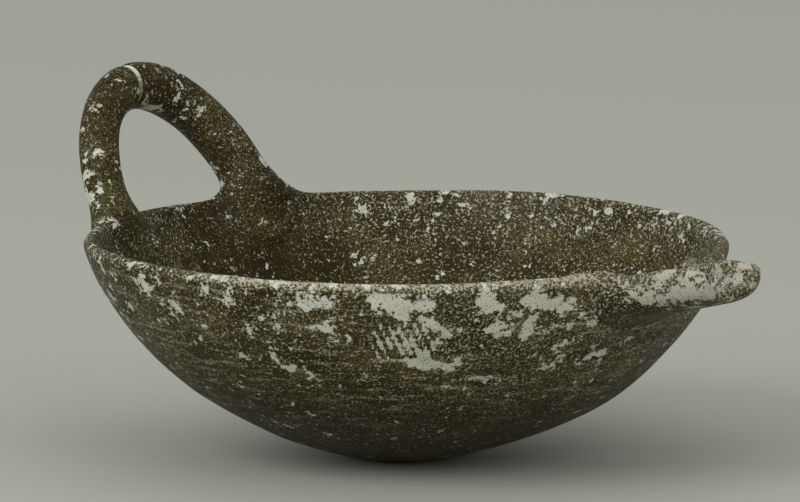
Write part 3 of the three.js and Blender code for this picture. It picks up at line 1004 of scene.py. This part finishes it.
def make_body():
    """The uneven, worn and melted grid, cut at its two level seams into base, wall and rim."""
    grid, azimuth, outer_count, lip_count = body_grid()
    turn = azimuth + 0 * grid[..., 0]
    row = np.arange(len(grid))[:, None] + 0 * turn
    normals = grid_normals(grid)
    marks = body_marks(grid, azimuth, outer_count, lip_count)
    grid = grid + normals * body_lift(grid, turn, row < outer_count, marks["wear"])[..., None]
    grid = body_melted(grid, normals, row < outer_count + lip_count)

    low = FOOT_ROWS - 1 + BASE_ROWS - 1
    high = low + WALL_ROWS - 1
    last = len(grid) - 1
    high_in, low_in = last - high, last - low
    base_rows = np.r_[0:low + 1, low_in:last + 1]
    wall_rows = np.r_[low:high + 1, high_in:low_in + 1]
    rim_rows = np.r_[high:high_in + 1]

    points, faces = closed_by_poles(grid[base_rows], np.array([-FOOT_DRIFT, 0, 0]), grid[-1].mean(0))
    base_marks = {
        key: np.append(mark[base_rows].reshape(-1), [mark[0].mean(), mark[-1].mean()])
        for key, mark in marks.items()
    }
    put_piece("base", points, faces, dark_slip, ["base_shell"], base_marks)
    for name, rows, material, slot, covered in (
        ("wall", wall_rows, dark_slip, "dark_slip", "wall_shell"),
        ("rim", rim_rows, rim_slip, "worn_slip", "rim_coil"),
    ):
        points, faces = closed_by_seam(grid[rows])
        ring_marks = {key: mark[rows].reshape(-1) for key, mark in marks.items()}
        put_piece(name, points, faces, material, [covered], ring_marks)


# Wear and tone of the handle: least, range, size and seed of two noises, and a scar low on the near limb
LIMB_WEAR = (0.05, 0.27, 14, 91)
LIMB_WEAR_LIMITS = (0.35, 0.7)
LIMB_TONE = (0.03, 0.27, 20, 97)
LIMB_END_TONE = 0.3
LIMB_DRAG = 0.12
SCAR_PLACE = np.array([-113, -43, 85])
SCAR_SIZE = np.array([7, 5, 8])
SCAR_WEAR = 1.05
FILL_WEAR = 1.3
FILL_TONE = (0.2, 0.8)
FILL_LIMITS = (-4, 1)


def make_limb(name, start, stop, break_angle, nodes, scarred):
    """A limb between its closed root and the break: rings round the arch.

    The break's edge draws in by shrink * (1 - q)^2, with q the distance from the break in edge roundings.
    """
    angles = np.linspace(start, stop, LIMB_RINGS)
    to_break = np.abs(angles - break_angle) / (BREAK_ROUND / ARCH_RISE)
    grid = limb_grid(angles, BREAK_SHRINK * np.clip(1 - to_break, 0, 1) ** 2)
    middle = (arch_place(arch_flat(angles), 0 * angles) + root_bend(angles))[:, None]
    normals = grid_normals(grid)
    normals = normals * np.sign((normals * (grid - middle)).sum(-1).mean())
    calm = smooth(0, BREAK_CALM, to_break)[:, None]
    grid = grid + normals * (LIMB_HAND * hand(grid) * calm)[..., None]

    points, directions = grid.reshape(-1, 3), normals.reshape(-1, 3)
    near = points[:, 2] < CREST + WALL_NEAR_HANDLE
    points = points + directions * melt(points, directions, near, body_distance, HANDLE_BLEND)[:, None]

    least, more, size, seed = LIMB_WEAR
    wear = more * smooth(*LIMB_WEAR_LIMITS, rough(points, size, seed)) + least
    least, more, size, seed = LIMB_TONE
    tone = least + more * rough(points, size, seed)
    if scarred:
        scar = np.exp(-(((points - SCAR_PLACE) / SCAR_SIZE) ** 2).sum(1))
        wear = np.maximum(wear, SCAR_WEAR * scar)
    grid = points.reshape(grid.shape)
    points, faces = closed_by_poles(grid, grid[0].mean(0), grid[-1].mean(0))
    marks = {
        "wear": np.append(wear, [0, 0]),
        "tone": np.append(tone, [LIMB_END_TONE] * 2),
        "drag": np.full(len(points), LIMB_DRAG),
    }
    put_piece(name, points, faces, handle_slip, nodes, marks)


def make_mend_fill(start, stop):
    """Filler in the break: rings sunk + hollow * cos(q) inside the limbs' skin, with q from -pi to pi."""
    ease = np.cos(np.linspace(-math.pi, math.pi, FILL_RINGS))
    grid = limb_grid(np.linspace(start, stop, FILL_RINGS), FILL_SUNK + FILL_HOLLOW * ease)
    points, faces = closed_by_poles(grid, grid[0].mean(0), grid[-1].mean(0))
    height = (points - CHORD_MIDDLE) @ ARCH_UP
    upper = smooth(*FILL_LIMITS, height - ARCH_RISE)
    marks = {"wear": FILL_WEAR * upper, "tone": FILL_TONE[0] + FILL_TONE[1] * upper, "drag": 0 * upper}
    put_piece("mend_fill", points, faces, filler, ["handle_mend_fill"], marks)


def make_handle():
    """The near and far limb on either side of the old break, and its filler."""
    mend, half = math.radians(MEND_ANGLE), MEND_WIDTH / ARCH_SPAN
    sink = ROOT_SINK / ARCH_RISE
    before, after = mend - half, mend + half
    make_limb("near_limb", -sink, before, before, ["handle_near_limb", "near_root_collar"], True)
    make_limb("far_limb", after, math.pi + sink, after, ["handle_far_limb", "far_root_collar"], False)
    make_mend_fill(before, after)


# Wear and tone of the spout, with painted light on its top and a painted highlight on its near lip
SPOUT_WEAR = (0.42, 0.5, 9, 33)  # middle and range, size and seed of the noise
# The pale wear is kept above a line that falls towards the mouth, partly as painted light on the top
SPOUT_TOP_LIMITS = (62, 71)
SPOUT_TOP_SLOPE = 0.12
SPOUT_TOP_START = 110
# Painted highlight: pale clay on the upper side of the near lip
NEAR_LIP_PAINTED_HIGHLIGHT = 0.5
NEAR_LIP_X_LIMITS = (124, 134)
NEAR_LIP_Y_LIMITS = (8, 13)
MOUTH_WEAR = 0.62
MOUTH_X_LIMITS = (130, 144)
UPPER_LIMITS = (70, 75)
# Tone, with painted light: the top of the spout is painted lighter than its underside
SPOUT_TONE_AND_TOP_LIGHT = (0.2, 0.36)
SPOUT_TOP_LIGHT_LIMITS = (66, 76)
SPOUT_DRAG = 0.15
SPOUT_MOST_WEAR = 1.3


def spout_marks(points):
    """Rubbed wear and painted light: pale above a line that falls towards the mouth, partly as painted light
    from above, a painted highlight on the near lip, wear round the mouth, and a tone painted lighter at the
    top.
    """
    x, y, z = points.T
    middle, span, size, seed = SPOUT_WEAR
    upper = smooth(*UPPER_LIMITS, z)
    near_lip = smooth(*NEAR_LIP_X_LIMITS, x) * smooth(*NEAR_LIP_Y_LIMITS, -y) * upper
    # The near lip's extra pale is a painted highlight
    wear = middle + span * (rough(points, size, seed) - 0.5) + NEAR_LIP_PAINTED_HIGHLIGHT * near_lip
    # Pale wear only on the top: partly rubbed wear, partly painted light from above
    wear = wear * smooth(*SPOUT_TOP_LIMITS, z + SPOUT_TOP_SLOPE * (x - SPOUT_TOP_START))
    wear = np.maximum(wear, MOUTH_WEAR * smooth(*MOUTH_X_LIMITS, x) * upper)
    # Painted light: the spout's tone rises towards its top
    tone = SPOUT_TONE_AND_TOP_LIGHT[0] + SPOUT_TONE_AND_TOP_LIGHT[1] * smooth(*SPOUT_TOP_LIGHT_LIMITS, z)
    drag = np.full(len(points), SPOUT_DRAG)
    return {"wear": np.clip(wear, 0, SPOUT_MOST_WEAR), "tone": np.clip(tone, 0, 1), "drag": drag}


def spout_end_faces(rows, columns):
    """Faces that close the band's ends: a strip between outer and inner arc, and a polygon in each lip."""
    last = (rows - 1) * columns
    back = SPOUT_ARC + SPOUT_CAP + SPOUT_ARC - 1
    pairs = np.arange(SPOUT_ARC - 1)
    strip = np.stack([pairs + 1, pairs, back - pairs, back - pairs - 1], -1)
    faces = strip.tolist() + (strip[:, ::-1] + last).tolist()
    far_lip = [SPOUT_ARC - 1 + i for i in range(SPOUT_CAP + 2)]
    near_lip = [back + i for i in range(SPOUT_CAP + 1)] + [0]
    for polygon in (far_lip, near_lip):
        faces.append(polygon[::-1])
        faces.append([index + last for index in polygon])
    return faces


def make_spout():
    """Trough: a band of the wall's thickness along the arc of each section, with round lips.

    Its stations run from the crest of the wall to the mouth, where the last rows close the band's thickness
    as sqrt(1 - q^2) while they move on by q times the mouth's bulge.
    """
    across, down = trough_arc(SPOUT_ARC)
    stations = np.concatenate([np.linspace(0, 1, SPOUT_STATIONS), np.ones(MOUTH_ROWS)])
    close = np.concatenate([np.zeros(SPOUT_STATIONS), np.linspace(0, MOUTH_CLOSE, MOUTH_ROWS + 1)[1:]])

    def middle(x):
        """Middle of the trough's wall over the whole arc at x, and its thickness there."""
        lip, underside, half, wall = spout_heights(x)
        z = mix(lip - wall / 2, underside + wall / 2, down)
        return np.stack([x + 0 * across, (half - wall / 2) * across, z], -1), wall + 0 * across

    start, _ = middle(np.full((1, 1), RIM_RADIUS - LIP_ROUND))
    wall_middle = at_height(WALL_R + WALL_NR * WALL_THICK / 2, start[0, :, 2])
    root = np.sqrt(np.clip(wall_middle**2 - start[0, :, 1] ** 2, 0, None))
    centre, wall = middle(mix(root, SPOUT_TIP - MOUTH_BULGE, stations[:, None]))
    centre[..., 0] += (close * MOUTH_BULGE)[:, None]
    half_wall = wall / 2 * np.sqrt(1 - close**2)[:, None]
    tangent = unit(np.gradient(centre, axis=1) * np.array([0, 1, 1]))
    normal = np.stack([0 * wall, tangent[..., 2], -tangent[..., 1]], -1)
    outer = centre + normal * half_wall[..., None]
    inner = centre - normal * half_wall[..., None]

    def lip_round(end, sign, angles):
        """Half circle of half the wall's thickness, from the normal round by the tangent."""
        c, s = np.cos(angles)[None, :, None], np.sin(angles)[None, :, None]
        reach = half_wall[:, end][:, None, None]
        out = c * normal[:, end][:, None] + sign * s * tangent[:, end][:, None]
        return centre[:, end][:, None] + reach * out

    angles = np.linspace(0, math.pi, SPOUT_CAP + 2)[1:-1]
    far_lip, near_lip = lip_round(-1, 1, angles), lip_round(0, -1, angles[::-1])
    grid = np.concatenate([outer, far_lip, inner[:, ::-1], near_lip], 1)
    normals = grid_normals(grid)
    normals = normals * np.sign((normals[:, :SPOUT_ARC] * normal).sum(-1).mean())
    grid = grid + normals * (SPOUT_HAND * hand(grid) * (1 - close)[:, None])[..., None]

    rows, columns = grid.shape[:2]
    column = np.arange(columns)
    outside = (column < SPOUT_ARC + SPOUT_CAP // 2) | (column >= columns - SPOUT_CAP // 2)
    points, directions = grid.reshape(-1, 3), normals.reshape(-1, 3)
    before_mouth = (outside[None] & (close == 0)[:, None]).reshape(-1)
    near = before_mouth & (points[:, 0] > RIM_RADIUS - WALL_NEAR_SPOUT)
    points = points + directions * melt(points, directions, near, body_distance, SPOUT_BLEND)[:, None]

    faces = grid_faces(rows, columns).tolist() + spout_end_faces(rows, columns)
    nodes = ["spout_trough", "spout_fillet"]
    put_piece("spout", points, faces, spout_slip, nodes, spout_marks(points))


make_body()
make_handle()
make_spout()

# Stage, light and camera: places and sizes of the stage are in metres
FLOOR_HALF = 6
FLOOR_COLOUR = colour(168, 170, 159)
BACKDROP_COLOUR = colour(166, 165, 155)
SKY_LIGHT = (0.74, 0.74, 0.74, 1)
KEY_LAMP = ((-0.2, -2.2, 1.3), 34)  # place and power
FILL_LAMP = ((2.2, -1.0, 1.3), 14)
LAMP_SIZE = 1.6
LAMP_AIM = (0, 0, 0.05)


def make_floor():
    """Pale matt square under the bowl."""
    s = FLOOR_HALF
    mesh = bpy.data.meshes.new("floor")
    mesh.from_pydata([(-s, -s, 0), (s, -s, 0), (s, s, 0), (-s, s, 0)], [], [(0, 1, 2, 3)])
    material = bpy.data.materials.new("pale_floor")
    material.use_nodes = True
    shader = material.node_tree.nodes["Principled BSDF"]
    shader.inputs["Base Color"].default_value = FLOOR_COLOUR
    shader.inputs["Roughness"].default_value = 1
    shader.inputs["Specular IOR Level"].default_value = 0
    mesh.materials.append(material)
    floor = bpy.data.objects.new("floor", mesh)
    bpy.context.scene.collection.objects.link(floor)


def make_world():
    """Even light from all round, with the pale backdrop where the camera, gloss or glass looks at it."""
    world = bpy.data.worlds.new("studio")
    bpy.context.scene.world = world
    world.use_nodes = True
    tree = world.node_tree
    path = node(tree, "ShaderNodeLightPath")
    seen = maths(tree, "MAXIMUM", path.outputs["Is Camera Ray"], path.outputs["Is Glossy Ray"])
    seen = maths(tree, "MAXIMUM", seen, path.outputs["Is Transmission Ray"])
    tree.links.new(blend(tree, seen, SKY_LIGHT, BACKDROP_COLOUR), tree.nodes["Background"].inputs["Color"])


def make_lamp(name, place, power):
    """Square soft lamp, aimed at the bowl."""
    lamp = bpy.data.lights.new(name, "AREA")
    lamp.size = LAMP_SIZE
    lamp.energy = power
    holder = bpy.data.objects.new(name, lamp)
    holder.location = place
    holder.rotation_euler = (Vector(LAMP_AIM) - Vector(place)).to_track_quat("-Z", "Y").to_euler()
    bpy.context.scene.collection.objects.link(holder)


def make_camera():
    """Camera far off with a long lens, placed so that the rim's centre lies on its measured pixel."""
    azimuth, elevation = math.radians(VIEW_AZIMUTH), math.radians(VIEW_ELEVATION)
    right = np.array([math.cos(azimuth), math.sin(azimuth), 0])
    level = math.cos(elevation)
    towards = np.array([math.sin(azimuth) * level, -math.cos(azimuth) * level, math.sin(elevation)])
    upward = np.cross(towards, right)
    off_x = (FRAME_CENTRE_PIXEL[0] - RIM_CENTRE_PIXEL[0]) * PIXEL
    off_y = (RIM_CENTRE_PIXEL[1] - FRAME_CENTRE_PIXEL[1]) * PIXEL
    target = np.array([0, 0, CREST]) + right * off_x + upward * off_y
    camera = bpy.data.cameras.new("camera")
    camera.lens = SENSOR * VIEW_DISTANCE / FRAME_WIDTH
    camera.sensor_width = SENSOR
    holder = bpy.data.objects.new("camera", camera)
    holder.location = (target + towards * VIEW_DISTANCE) * MM
    holder.rotation_euler = Vector(towards).to_track_quat("Z", "Y").to_euler()
    bpy.context.scene.collection.objects.link(holder)
    bpy.context.scene.camera = holder


make_floor()
make_world()
make_lamp("key", *KEY_LAMP)
make_lamp("fill", *FILL_LAMP)
make_camera()
bpy.context.scene.view_settings.view_transform = "Standard"
